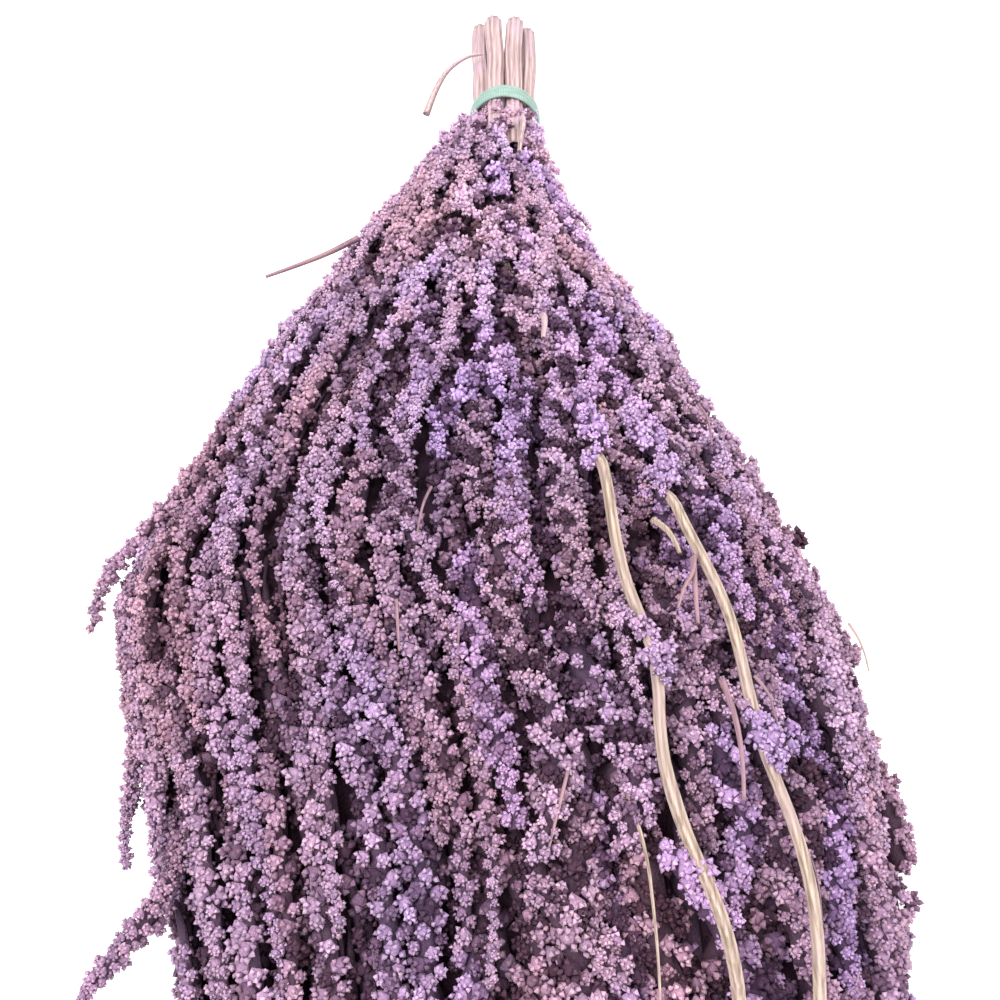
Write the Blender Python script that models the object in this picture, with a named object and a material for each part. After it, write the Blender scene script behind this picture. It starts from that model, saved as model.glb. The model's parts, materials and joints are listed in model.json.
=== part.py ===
"""A tied bunch of dried, dyed amaranth, lying on its side.

Ten cut stalks pass through a green band. Past the band eight of them carry a flower head each: a slim core
with knobbly drooping tassels standing out of it. The eight heads lie side by side round the bunch, each
within two walls that run out from the middle. Two longer stalks come up between the heads, run bare over
the top, and drape a small head of their own over the far end.

The bunch lies along Y. The cut ends are at +Y, the tassel tips at -Y, and it rests on z = 0.
"""

import math

import bmesh
import bpy
import numpy as np

# Lengths along the bunch, called s, are measured from the band towards the tips.
BAND_Y = 0.254
BUNCH_X = 0.006
BUTT_LENGTH = 0.092
LONGEST = 0.600

# Outline of the lying bunch: distance from the band, left edge, right edge and height of the top.
OUTLINE = [
    (0.000, -0.027, 0.024, 0.040),
    (0.047, -0.045, 0.032, 0.047),
    (0.094, -0.064, 0.046, 0.056),
    (0.137, -0.081, 0.056, 0.065),
    (0.211, -0.107, 0.084, 0.080),
    (0.270, -0.127, 0.101, 0.090),
    (0.340, -0.148, 0.125, 0.095),
    (0.414, -0.119, 0.132, 0.090),
    (0.472, -0.099, 0.124, 0.078),
    (0.550, -0.081, 0.098, 0.056),
    (0.620, -0.057, 0.068, 0.040),
]
CENTRE_HEIGHT = 0.42
FLAT_UNDERSIDE = 0.40
SIDE_FULLNESS = 0.8
SECTION_STEP = 0.005
SECTION_POINTS = 140
OUTLINE_SMOOTHING = 4

# Places round the bunch are shares of its girth, from the top over the right-hand side seen from the tips.
# The walls between the heads are evenly spread at the band and move to their wide places past it.
RING_HEADS = 8
WIDE_WALLS = (0.070, 0.130, 0.265, 0.410, 0.560, 0.710, 0.830, 0.945)
LONG_STALK_WALLS = (0, 1)
WALL_SETTLED = 0.20
WALL_WAVE = 0.006
WALL_WAVE_LENGTH = 0.26
WALL_WAVE_PHASE = 1.7
WALL_WAVE_START = 0.10
WALL_GAP = 0.0009
SEAT_GAP = 0.0003
LEAST_TASSEL_R = 0.0012

# Stalks
STALK_R = 0.0049
STALK_BUTT_R = 0.0054
BUNDLE_R = 0.0135
BUTT_SPREAD = 1.17
BUTT_UNEVEN = 0.010
STALK_RINGS = 7
STALK_SIDES = 6
STALK_END = 0.0090
LONG_STALK_R = 0.0032
LONG_STALK_TIP_R = 0.0020
LONG_STALK_TIED_X = (-0.0068, 0.0054)
LONG_STALK_END = 0.478
LONG_STALK_STEP = 0.019
LONG_STALK_ROOM = 0.0004
# Each long stalk has its place across the band. It leaves the tied stalks over UNTIED, climbs its wall until CLIMBED, breaks the surface over
# SURFACING, and is lifted over LIFTING to where its own head's core sits.
UNTIED = 0.045
CLIMB_START_SHARE = 0.35
CLIMBED = 0.20
CLIMB_UNDER_SKIN = 0.045
SURFACING = (0.12, 0.10)
SURFACE_CLEARANCE = 0.0005
LIFTING = (0.40, 0.06)

# Band
BAND_WIDTH = 0.0105
BAND_THICK = 0.0020
BAND_TURNS = 3
BAND_RIDGE = 0.0007
BAND_SEGMENTS = 18
BAND_CLEAR = 1.035

# Heads
HEAD_START = STALK_END + SEAT_GAP
HEAD_END = 0.530
CORE_DEPTH = 0.0105
CORE_DEPTH_SHARE = 0.26
CORE_INNER_NECK = 0.45
CORE_INNER_WIDE = 0.16
CLOSING_START = 0.430
CLOSING = 0.70
LUMP_ROW = 0.0118
ROPE_PITCH = 0.0180
RIDGE_HEIGHT = (0.0030, 0.0075)
RIDGE_UNEVEN = 0.0020
WALL_RIDGE = 0.0035
MOST_RIDGE_SHARE = 0.8
LONG_HEAD_WALLS = (-0.060, 0.100, 0.235)
LONG_CORE_R = 0.0052
LONG_CORE_END = 0.560
LONG_CORE_RINGS = 7
LONG_CORE_TAPER = 0.6
LONG_CORE_ABOVE = 0.0012

# Tassels
TASSEL_R = (0.0054, 0.0070)
TASSEL_SIDES = 4
RING_SPACING = 0.0108
KNOB = 0.20
TWIST = 0.95
ROOT_BITE = 0.0030
RELIEF = 0.0020
TIP_FLARE = 0.014
FLARE_SIDES = (0.17, 0.92)
WAVE = 0.0030
DRIFT = 0.05
SIDE_TASSELS = ((0.130, 0.70), (0.270, 0.32))
SIDE_TASSEL_LENGTH = (0.150, 0.215)
NARROW_HEAD = 0.08
END_TASSELS = 2
END_TASSEL_START = 0.440
LONG_HEAD_TASSELS = 5
LONG_HEAD_TASSEL_START = (0.480, 0.492)
LONG_HEAD_SPREAD = (0.12, 0.88)
TOP_ROOT_LIFT = 0.002
UNEVEN_LENGTH = 0.02

HEAD_COLOUR = (0.30, 0.19, 0.31)
STALK_COLOUR = (0.73, 0.55, 0.45)
BAND_COLOUR = (0.13, 0.33, 0.22)


def smoothstep(t):
    t = np.clip(t, 0.0, 1.0)
    return t * t * (3.0 - 2.0 * t)


def mix(a, b, share):
    return a + (b - a) * share


def unit(vector):
    return vector / np.linalg.norm(vector)


def sections():
    """The lying bunch's sections: stations, centres and, evenly round each outline, points and normals."""
    stations = np.arange(0.0, OUTLINE[-1][0] + SECTION_STEP / 2, SECTION_STEP)
    table = np.array(OUTLINE).T
    kernel = np.hanning(2 * OUTLINE_SMOOTHING + 3)[1:-1]
    kernel /= kernel.sum()
    edges = []
    for row in table[1:]:
        padded = np.pad(np.interp(stations, table[0], row), OUTLINE_SMOOTHING, mode="edge")
        edges.append(np.convolve(padded, kernel, "valid"))
    left, right, top = edges
    middle, half = (left + right) / 2, (right - left) / 2
    height = CENTRE_HEIGHT * top
    angle = np.linspace(0.0, 2 * math.pi, 721)
    across, up = np.sin(angle), np.cos(angle)
    low = up < 0
    across = np.where(low, np.sign(across) * np.abs(across) ** SIDE_FULLNESS, across)
    rise = np.where(low, -np.abs(up) ** FLAT_UNDERSIDE, up)
    points = np.zeros((len(stations), SECTION_POINTS, 2))
    for i in range(len(stations)):
        x = middle[i] + half[i] * across
        z = height[i] + np.where(low, height[i], top[i] - height[i]) * rise
        run = np.concatenate([[0.0], np.cumsum(np.hypot(np.diff(x), np.diff(z)))])
        even = np.arange(SECTION_POINTS) / SECTION_POINTS * run[-1]
        points[i] = np.column_stack([np.interp(even, run, x), np.interp(even, run, z)])
    along = np.roll(points, -1, axis=1) - np.roll(points, 1, axis=1)
    normals = np.stack([-along[..., 1], along[..., 0]], axis=-1)
    normals /= np.linalg.norm(normals, axis=-1, keepdims=True)
    return stations, np.column_stack([middle, height]), points, normals


STATIONS, CENTRES, SKIN, NORMALS = sections()


def centre(s):
    """The section's centre at s, as (x, z)."""
    return np.array([np.interp(s, STATIONS, CENTRES[:, 0]), np.interp(s, STATIONS, CENTRES[:, 1])])


def skin(s, q):
    """The point of the bunch's outline at s, a share q of the way round, and the normal there, as (x, z)."""
    row = np.clip(s / SECTION_STEP, 0.0, len(STATIONS) - 1.001)
    column = (q % 1.0) * SECTION_POINTS
    i, j = int(row), int(column) % SECTION_POINTS
    a, b = row - i, column - int(column)
    k = (j + 1) % SECTION_POINTS
    point, normal = (
        mix(mix(grid[i, j], grid[i, k], b), mix(grid[i + 1, j], grid[i + 1, k], b), a)
        for grid in (SKIN, NORMALS)
    )
    return point, unit(normal)


def girth(s):
    """The outline's length round the section at s."""
    row = int(np.clip(s / SECTION_STEP, 0, len(STATIONS) - 1))
    return np.linalg.norm(np.roll(SKIN[row], -1, axis=0) - SKIN[row], axis=1).sum()


def place(s, flat):
    """A point of the section at s in the part's own frame."""
    return np.array([flat[0] + BUNCH_X, BAND_Y - s, flat[1]])


def long_stalk_radius(s):
    return mix(LONG_STALK_R, LONG_STALK_TIP_R, smoothstep(s / LONG_STALK_END))


class RingWall:
    """A wall between two neighbouring heads. Two of them leave room for a long stalk."""

    def __init__(self, number):
        turn, self.number = divmod(number, RING_HEADS)
        self.neck = turn + self.number / RING_HEADS
        self.wide = turn + WIDE_WALLS[self.number]

    def share(self, s):
        wave = math.sin(2 * math.pi * s / WALL_WAVE_LENGTH + WALL_WAVE_PHASE * self.number)
        settled = mix(self.neck, self.wide, smoothstep(s / WALL_SETTLED))
        return settled + WALL_WAVE * wave * smoothstep(s / WALL_WAVE_START)

    def gap(self, s):
        if self.number in LONG_STALK_WALLS:
            return WALL_GAP + long_stalk_radius(s) + LONG_STALK_ROOM
        return WALL_GAP


class TopWall:
    """A side of a long stalk's head, where it lies over the others."""

    def __init__(self, share):
        self.fixed = share

    def share(self, s):
        return self.fixed

    def gap(self, s):
        return WALL_GAP


def core_inner(s):
    """How far out from the centre, as a share, the heads begin."""
    return mix(CORE_INNER_NECK, CORE_INNER_WIDE, smoothstep(s / 0.10))


def core_depth(to_centre):
    """How far under the skin a core's outer face lies, given the skin's distance from the centre."""
    return min(CORE_DEPTH, CORE_DEPTH_SHARE * to_centre)


def inside_wall(s, flat, wall, side):
    """How far inside a wall a point of the section lies, and the direction away from the wall."""
    middle = centre(s)
    ray = unit(skin(s, wall.share(s))[0] - middle)
    inward = side * np.array([ray[1], -ray[0]])
    return float((flat - middle) @ inward), inward


def keep_between(s, flat, radius, walls):
    """Moves a point of the section off its head's two walls, and gives the radius that fits there. Near
    the centre, where the head is too narrow, the point goes out to where it fits."""
    low, high = walls
    inside_low, from_low = inside_wall(s, flat, low, 1)
    inside_high, from_high = inside_wall(s, flat, high, -1)
    room = (inside_low + inside_high - low.gap(s) - high.gap(s)) / 2
    radius = min(radius, max(LEAST_TASSEL_R, room))
    clear_low, clear_high = radius + low.gap(s), radius + high.gap(s)
    flat = flat + from_low * max(0.0, clear_low - inside_low)
    flat = flat + from_high * max(0.0, clear_high - inside_wall(s, flat, high, -1)[0])
    if inside_wall(s, flat, low, 1)[0] < clear_low - 1e-6:
        flat = centre(s) + np.linalg.solve(np.array([from_low, from_high]), np.array([clear_low, clear_high]))
    return flat, radius


class Tassel:
    """A tassel's run along the bunch, its thickness and its small wanderings, drawn once at random."""

    def __init__(self, rng, start, length, spot, out=1.0, on_top=False):
        self.start, self.length, self.spot, self.out, self.on_top = start, length, spot, out, on_top
        self.radius = rng.uniform(*TASSEL_R)
        self.phase = rng.uniform(0, 2 * math.pi, 3)
        self.turns = rng.uniform(0.8, 1.6)
        self.drift = rng.uniform(-DRIFT, DRIFT)
        self.flare = rng.uniform(0.0, TIP_FLARE)

    def profile(self, t):
        """The tassel's thickness along it: slimmer at the root, full in the middle and fine at the tip."""
        swell = 1 + 0.10 * math.sin(self.phase[2] + 9.0 * t)
        return swell * (0.62 + 0.38 * smoothstep(t / 0.22) - 0.66 * smoothstep((t - 0.55) / 0.45))

    def depth(self, t, share, reach, to_centre):
        """How far under the skin the tassel's line runs. Away from the top its tip stands off the bunch."""
        if self.on_top:
            return -(reach + SEAT_GAP + TOP_ROOT_LIFT * (1 - t))
        if self.out < 1:
            return 0.0
        root = core_depth(to_centre) + ROOT_BITE
        uneven = RELIEF * (0.5 + 0.5 * math.sin(self.phase[1] + 5.0 * t))
        depth = mix(root, reach + uneven, smoothstep(t / 0.25))
        if FLARE_SIDES[0] < share % 1.0 < FLARE_SIDES[1]:
            depth -= self.flare * smoothstep((t - 0.6) / 0.4)
        return depth

    def route(self, walls):
        """The tassel's centre line and its radii, kept between the head's walls."""
        rings = max(6, int(round(self.length / RING_SPACING)) + 1)
        low, high = walls
        points, radii = [], []
        for t in np.linspace(0.0, 1.0, rings):
            s = self.start + self.length * t
            reach = self.radius * self.profile(t) * (1 + KNOB)
            spread = mix(0.5, self.spot, smoothstep(t / 0.3)) if self.on_top else self.spot
            share = mix(low.share(s), high.share(s), spread + self.drift * (t - 0.4))
            edge, normal = skin(s, share)
            middle = centre(s)
            edge = mix(middle, edge, self.out)
            depth = self.depth(t, share, reach, np.linalg.norm(edge - middle))
            wave = WAVE * math.sin(self.phase[0] + self.turns * 2 * math.pi * t) * smoothstep(t / 0.3)
            flat = edge - normal * depth + wave * np.array([normal[1], -normal[0]])
            flat, reach = keep_between(s, flat, reach, walls)
            flat[1] = max(flat[1], reach)
            points.append(place(s, flat))
            radii.append(reach / (1 + KNOB))
        return np.array(points), np.array(radii)


def lay_tassels(rng, walls):
    """A ring head's tassels: some that stand out along its outer side, and some out of its far end."""
    low, high = walls
    laid = []
    for start, spot in SIDE_TASSELS:
        start += rng.uniform(-UNEVEN_LENGTH, UNEVEN_LENGTH)
        if high.wide - low.wide < NARROW_HEAD:
            spot = 0.5
        laid.append(Tassel(rng, start, rng.uniform(*SIDE_TASSEL_LENGTH), spot + rng.uniform(-0.1, 0.1)))
    for n in range(END_TASSELS):
        start = END_TASSEL_START + rng.uniform(0.0, UNEVEN_LENGTH)
        length = LONGEST - start - rng.uniform(0.0, UNEVEN_LENGTH)
        laid.append(Tassel(rng, start, length, 0.25 + 0.5 * n, out=rng.uniform(0.60, 0.85)))
    return laid


def mesh_object(name, vertices, faces, collection=None):
    mesh = bpy.data.meshes.new(name)
    mesh.from_pydata([tuple(vertex) for vertex in vertices], [], faces)
    mesh.update()
    made = bpy.data.objects.new(name, mesh)
    (collection or bpy.context.scene.collection).objects.link(made)
    return made


def frames(points):
    """For each point of a line, two unit vectors across it, turned as little as possible along it."""
    ahead = np.gradient(points, axis=0)
    ahead /= np.linalg.norm(ahead, axis=1, keepdims=True)
    side = unit(np.cross(ahead[0], [0.0, 0.0, 1.0]))
    pairs = []
    for direction in ahead:
        side = unit(side - direction * (side @ direction))
        pairs.append((side, np.cross(direction, side)))
    return pairs


def tube(name, points, radii, sides, knob=0.0, twist=0.0, point_tip=False, collection=None):
    """A closed tube. With a knob its rings are wide and narrow by turns, and with a twist each is turned
    against the last, which gives the lumps of a tassel's flower clusters."""
    vertices = []
    for i, (one, two) in enumerate(frames(points)):
        radius = radii[i] * (1 + knob * (1 if i % 2 else -1))
        for j in range(sides):
            angle = 2 * math.pi * j / sides + twist * i
            vertices.append(points[i] + radius * (math.cos(angle) * one + math.sin(angle) * two))
    faces = []
    rings = len(points) - point_tip
    for i in range(rings - 1):
        for j in range(sides):
            k = (j + 1) % sides
            a, b, c, d = i * sides + j, i * sides + k, (i + 1) * sides + k, (i + 1) * sides + j
            faces += [(a, b, d), (b, c, d)]
    faces.append(tuple(reversed(range(sides))))
    last = (rings - 1) * sides
    if point_tip:
        vertices = vertices[: rings * sides] + [points[-1]]
        faces += [(last + j, last + (j + 1) % sides, rings * sides) for j in range(sides)]
    else:
        faces.append(tuple(range(last, last + sides)))
    return mesh_object(name, vertices, faces, collection)


def core_ring(rng, s, walls, row):
    """A core's section at s: its outer side, in knobbly ropes, then its two inner corners."""
    low, high = walls
    middle = centre(s)
    ropes = max(1, int(round((high.share(s) - low.share(s)) * girth(s) / ROPE_PITCH)))
    ring = []
    for column, q in enumerate(np.linspace(low.share(s), high.share(s), 2 * ropes + 1)):
        edge, normal = skin(s, q)
        depth = core_depth(np.linalg.norm(edge - middle))
        lump = 0.0
        if column % 2:
            lump = RIDGE_HEIGHT[(row + column // 2) % 2] + rng.uniform(0.0, RIDGE_UNEVEN)
        elif column in (0, 2 * ropes):
            lump = WALL_RIDGE * (row % 2)
        ring.append(edge - normal * (depth - min(lump, MOST_RIDGE_SHARE * depth)))
    for wall in (high, low):
        ring.append(mix(middle, skin(s, wall.share(s))[0], core_inner(s)))
    closing = 1 - CLOSING * smoothstep((s - CLOSING_START) / (HEAD_END - CLOSING_START))
    hub = np.mean(ring, axis=0)
    return [place(s, keep_between(s, mix(hub, flat, closing), 0.0, walls)[0]) for flat in ring]


def bridge(first, second):
    """Triangles between two rows of vertices, each given as a range, that may differ in number."""
    faces = []
    i, j = 0, 0
    while i < len(first) - 1 or j < len(second) - 1:
        ahead_first = (i + 1) / (len(first) - 1)
        ahead_second = (j + 1) / (len(second) - 1)
        if ahead_first <= ahead_second and i < len(first) - 1:
            faces.append((first[i], second[j], first[i + 1]))
            i += 1
        else:
            faces.append((first[i], second[j], second[j + 1]))
            j += 1
    return faces


def core_mesh(name, walls, seed):
    """The core of a ring head: a wedge-shaped bar that follows the bunch, with its tassels in relief."""
    rng = np.random.default_rng(seed)
    vertices, rings = [], []
    for row, s in enumerate(np.arange(HEAD_START, HEAD_END, LUMP_ROW)):
        ring = core_ring(rng, s, walls, row)
        rings.append(range(len(vertices), len(vertices) + len(ring)))
        vertices += ring
    faces = [tuple(rings[0]), tuple(reversed(rings[-1]))]
    for first, second in zip(rings, rings[1:]):
        faces += bridge(first[:-2], second[:-2])
        around = [(first[k], second[k]) for k in (-3, -2, -1, 0)]
        for (a, b), (c, d) in zip(around, around[1:]):
            faces.append((a, b, d, c))
    return mesh_object(name, vertices, faces)


def keep_one_body(mesh):
    """Drops what a union left loose: scraps, and the inner walls of hollows that it sealed."""
    work = bmesh.new()
    work.from_mesh(mesh)
    islands, seen = [], set()
    for face in work.faces:
        if face in seen:
            continue
        island, waiting = [], [face]
        seen.add(face)
        while waiting:
            current = waiting.pop()
            island.append(current)
            for edge in current.edges:
                for other in edge.link_faces:
                    if other not in seen:
                        seen.add(other)
                        waiting.append(other)
        islands.append(island)
    islands.sort(key=len, reverse=True)
    loose = [face for island in islands[1:] for face in island]
    bmesh.ops.delete(work, geom=loose, context="FACES")
    work.to_mesh(mesh)
    work.free()
    if loose:
        print(f"{mesh.name}: dropped {len(islands) - 1} loose bodies, {len(loose)} faces")


def fuse(base, collection):
    """Joins a collection's objects to the base by one Boolean union, and removes them."""
    union = base.modifiers.new("union", "BOOLEAN")
    union.operation = "UNION"
    union.operand_type = "COLLECTION"
    union.collection = collection
    union.solver = "MANIFOLD"
    graph = bpy.context.evaluated_depsgraph_get()
    joined = bpy.data.meshes.new_from_object(base.evaluated_get(graph))
    base.modifiers.clear()
    joined.materials.clear()
    base.data = joined
    joined.name = base.name
    for member in list(collection.objects):
        bpy.data.objects.remove(member)
    bpy.data.collections.remove(collection)
    keep_one_body(joined)


def grow_tassels(base, walls, tassels):
    """Builds the tassels and fuses them with the core that they grow from."""
    collection = bpy.data.collections.new(f"{base.name}_tassels")
    bpy.context.scene.collection.children.link(collection)
    for n, tassel in enumerate(tassels):
        points, radii = tassel.route(walls)
        tube(f"{base.name}_tassel_{n}", points, radii, TASSEL_SIDES, KNOB, TWIST, True, collection)
    fuse(base, collection)


def bundle_centre(s):
    """The height of the tied stalks' middle at s, where their lowest ones touch the ground at the butts."""
    at_band = BUNDLE_R + STALK_R * BAND_CLEAR + SEAT_GAP + BAND_THICK + SEAT_GAP
    lowest = math.cos(math.pi / RING_HEADS) * BUNDLE_R * BUTT_SPREAD
    return mix(at_band, lowest + STALK_BUTT_R, smoothstep(-s / BUTT_LENGTH))


def bundle_spread(s):
    return mix(1.0, BUTT_SPREAD, smoothstep(-s / BUTT_LENGTH))


def stalk_mesh(name, number):
    """A ring head's stalk, from its cut butt through the band to the head's core."""
    angle = 2 * math.pi * (number + 0.5) / RING_HEADS
    rng = np.random.default_rng(300 + number)
    shorter = rng.uniform(0.0, BUTT_UNEVEN)
    points, radii = [], []
    for s in np.linspace(-BUTT_LENGTH + shorter, STALK_END, STALK_RINGS):
        spread = bundle_spread(s)
        x = math.sin(angle) * BUNDLE_R * spread
        z = bundle_centre(s) + math.cos(angle) * BUNDLE_R * spread
        points.append(place(s, np.array([x, z])))
        radii.append(mix(STALK_R, STALK_BUTT_R, smoothstep(-s / BUTT_LENGTH)))
    return tube(name, np.array(points), np.array(radii), STALK_SIDES)


def long_stalk_point(s, wall, tied_x):
    """A long stalk's place at s: in the middle of the tied stalks, then up its wall and along the top."""
    tied = np.array([tied_x * bundle_spread(s), bundle_centre(s)])
    if s <= 0:
        return tied
    edge, normal = skin(s, wall.share(s))
    climb = mix(CLIMB_START_SHARE, 1.0, smoothstep(s / CLIMBED)) * (1 - CLIMB_UNDER_SKIN)
    buried = mix(centre(s), edge, climb)
    lift = smoothstep((s - LIFTING[0]) / LIFTING[1])
    surface = edge + normal * mix(SURFACE_CLEARANCE, LONG_CORE_R + LONG_CORE_ABOVE, lift)
    rising = mix(buried, surface, smoothstep((s - SURFACING[0]) / SURFACING[1]))
    return mix(tied, rising, smoothstep(s / UNTIED))


def long_stalk_mesh(name, wall, tied_x):
    count = int((BUTT_LENGTH + LONG_STALK_END) / LONG_STALK_STEP)
    stations = np.linspace(-BUTT_LENGTH, LONG_STALK_END, count)
    points = [place(s, long_stalk_point(s, wall, tied_x)) for s in stations]
    radii = [long_stalk_radius(max(s, 0.0)) for s in stations]
    return tube(name, np.array(points), np.array(radii), STALK_SIDES)


def long_head_core(name, wall):
    """The core of a long stalk's head, which carries on from the stalk over the bunch's far end."""
    stations = np.linspace(LONG_STALK_END + SEAT_GAP, LONG_CORE_END, LONG_CORE_RINGS)
    points = []
    for s in stations:
        edge, normal = skin(s, wall.share(s))
        points.append(place(s, edge + normal * (LONG_CORE_R + LONG_CORE_ABOVE)))
    radii = LONG_CORE_R * np.linspace(1.0, 1 - LONG_CORE_TAPER, LONG_CORE_RINGS)
    return tube(name, np.array(points), radii, STALK_SIDES)


def band_mesh(name):
    """The green band: turns of elastic wound side by side round the stalks, fused where they touch."""
    span = BAND_WIDTH / BAND_TURNS
    profile = [(BAND_WIDTH / 2, 0.0), (-BAND_WIDTH / 2, 0.0)]
    for turn in range(BAND_TURNS):
        start = -BAND_WIDTH / 2 + turn * span
        profile += [(start, BAND_THICK - BAND_RIDGE), (start + span / 2, BAND_THICK)]
    profile.append((BAND_WIDTH / 2, BAND_THICK - BAND_RIDGE))
    vertices = []
    for n in range(BAND_SEGMENTS):
        angle = 2 * math.pi * n / BAND_SEGMENTS
        out = np.array([math.sin(angle), math.cos(angle)])
        for along, height in profile:
            flat = out * (BUNDLE_R + STALK_R * BAND_CLEAR + SEAT_GAP + height)
            vertices.append(place(along, flat + np.array([0.0, bundle_centre(0.0)])))
    size = len(profile)
    faces = []
    for n in range(BAND_SEGMENTS):
        first, second = n * size, (n + 1) % BAND_SEGMENTS * size
        for j in range(size):
            k = (j + 1) % size
            faces.append((first + j, first + k, second + k, second + j))
    return mesh_object(name, vertices, faces)


def principled(name, colour, roughness):
    material = bpy.data.materials.new(name)
    material.use_nodes = True
    shader = material.node_tree.nodes["Principled BSDF"]
    shader.inputs["Base Color"].default_value = (*colour, 1.0)
    shader.inputs["Roughness"].default_value = roughness
    shader.inputs["Metallic"].default_value = 0.0
    return material


for old in list(bpy.data.objects):
    bpy.data.objects.remove(old)

flower = principled("dyed_flowers", HEAD_COLOUR, 0.85)
straw = principled("dry_stalk", STALK_COLOUR, 0.65)
green = principled("green_elastic", BAND_COLOUR, 0.55)

for number in range(RING_HEADS):
    walls = (RingWall(number), RingWall(number + 1))
    head = core_mesh(f"head_{number + 1}", walls, 50 + number)
    grow_tassels(head, walls, lay_tassels(np.random.default_rng(100 + number), walls))
    head.data.materials.append(flower)
    stalk = stalk_mesh(f"stalk_{number + 1}", number)
    stalk.data.materials.append(straw)

for n, number in enumerate(LONG_STALK_WALLS):
    wall = RingWall(number)
    tied_x = LONG_STALK_TIED_X[n]
    walls = (TopWall(LONG_HEAD_WALLS[n]), TopWall(LONG_HEAD_WALLS[n + 1]))
    rng = np.random.default_rng(200 + number)
    head = long_head_core(f"long_head_{n + 1}", wall)
    tassels = []
    for spot in np.linspace(*LONG_HEAD_SPREAD, LONG_HEAD_TASSELS):
        start = rng.uniform(*LONG_HEAD_TASSEL_START)
        length = LONGEST - start - rng.uniform(0.0, UNEVEN_LENGTH)
        tassels.append(Tassel(rng, start, length, spot, on_top=True))
    grow_tassels(head, walls, tassels)
    head.data.materials.append(flower)
    stalk = long_stalk_mesh(f"long_stalk_{n + 1}", wall, tied_x)
    stalk.data.materials.append(straw)

band_mesh("band").data.materials.append(green)
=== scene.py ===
import json
import math

import bpy
import numpy as np
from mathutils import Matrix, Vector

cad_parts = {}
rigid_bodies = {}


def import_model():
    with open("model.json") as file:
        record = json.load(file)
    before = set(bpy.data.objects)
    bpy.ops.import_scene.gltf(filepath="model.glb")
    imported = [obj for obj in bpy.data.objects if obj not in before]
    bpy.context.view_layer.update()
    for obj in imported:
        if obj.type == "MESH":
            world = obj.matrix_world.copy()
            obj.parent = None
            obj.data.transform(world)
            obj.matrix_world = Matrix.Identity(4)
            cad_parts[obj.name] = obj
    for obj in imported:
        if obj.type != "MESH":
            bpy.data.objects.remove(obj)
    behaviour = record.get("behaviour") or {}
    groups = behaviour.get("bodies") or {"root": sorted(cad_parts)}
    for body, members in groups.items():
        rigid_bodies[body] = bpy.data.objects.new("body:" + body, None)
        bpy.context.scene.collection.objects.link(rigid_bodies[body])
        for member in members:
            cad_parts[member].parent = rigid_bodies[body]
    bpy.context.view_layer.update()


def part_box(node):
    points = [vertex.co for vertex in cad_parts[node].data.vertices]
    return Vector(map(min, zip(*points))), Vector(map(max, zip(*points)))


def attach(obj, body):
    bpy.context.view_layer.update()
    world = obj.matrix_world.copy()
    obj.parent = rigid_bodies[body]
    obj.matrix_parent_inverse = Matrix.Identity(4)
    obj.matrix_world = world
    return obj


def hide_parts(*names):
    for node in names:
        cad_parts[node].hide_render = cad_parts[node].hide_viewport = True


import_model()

# Tied stalks. Eight cut amaranth stalks, dried, pale and pinkish, with ribs along them and a spongy pith at
# the saw cut. Each is a ribbed tube that follows its place in the tie, from the butt to the first flowers.
band_low, band_high = (np.array(corner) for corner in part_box("band"))
BAND_Y = (band_low[1] + band_high[1]) / 2
BUNCH_X = (band_low[0] + band_high[0]) / 2
TIED_HEIGHT = (band_low[2] + band_high[2]) / 2
RING_HEADS = 8
STALK_R, STALK_BUTT_R = 0.0049, 0.0054
BUNDLE_R = 0.0135
BUTT_SPREAD = 1.17
BUTT_LENGTH = 0.092
STALK_RIBS = 9
STALK_RINGS = 30
RIB_DEPTH = 0.07
RIB_POINTS = 4
RIB_VARIETY = (0.6, 1.4)
PITH_DEPTH = 0.0011
# The rings over a cut end: their share of the radius, how far they are pith and how deep they are sunk.
CUT_RINGS = ((0.86, 0.6, 0.0), (0.72, 1.0, PITH_DEPTH), (0.30, 1.0, PITH_DEPTH * 1.3))
CUT_RIBS = 0.6
WANDER, WANDER_RATE = 0.0006, 70.0
FREE_FROM, FREE_RUN = 0.01, 0.03
STALK_TRIM = 0.97
INTO_FLOWERS = 0.045


def smoothstep(t):
    t = np.clip(t, 0.0, 1.0)
    return t * t * (3.0 - 2.0 * t)


def mix(a, b, share):
    return a + (b - a) * share


def unit(vector):
    return vector / np.linalg.norm(vector, axis=-1, keepdims=True)


def place(s, flat):
    """A point s past the band, towards the tips, and at flat = (x, z) in the bunch's section there."""
    return np.array([flat[0] + BUNCH_X, BAND_Y - s, flat[1]])


def bundle_centre(s):
    lowest = math.cos(math.pi / RING_HEADS) * BUNDLE_R * BUTT_SPREAD
    return mix(TIED_HEIGHT, lowest + STALK_BUTT_R, smoothstep(-s / BUTT_LENGTH))


def bundle_spread(s):
    return mix(1.0, BUTT_SPREAD, smoothstep(-s / BUTT_LENGTH))


def plain_object(name, vertices, faces, edges=()):
    mesh = bpy.data.meshes.new(name)
    mesh.from_pydata([tuple(vertex) for vertex in vertices], edges, faces)
    mesh.update()
    made = bpy.data.objects.new(name, mesh)
    bpy.context.scene.collection.objects.link(made)
    return made


def point_values(mesh, name, values):
    mesh.attributes.new(name, "FLOAT", "POINT").data.foreach_set("value", np.asarray(values, np.float32))


def side_faces(rings, size, flipped=False, wrapped=False):
    """The faces between rings of points, numbered ring by ring. Wrapped, the last ring meets the first."""
    faces = []
    for i in range(rings if wrapped else rings - 1):
        here, there = i * size, (i + 1) % rings * size
        for j in range(size):
            k = (j + 1) % size
            face = (here + j, here + k, there + k, there + j)
            faces.append((face[1], face[0], face[3], face[2]) if flipped else face)
    return faces


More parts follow.
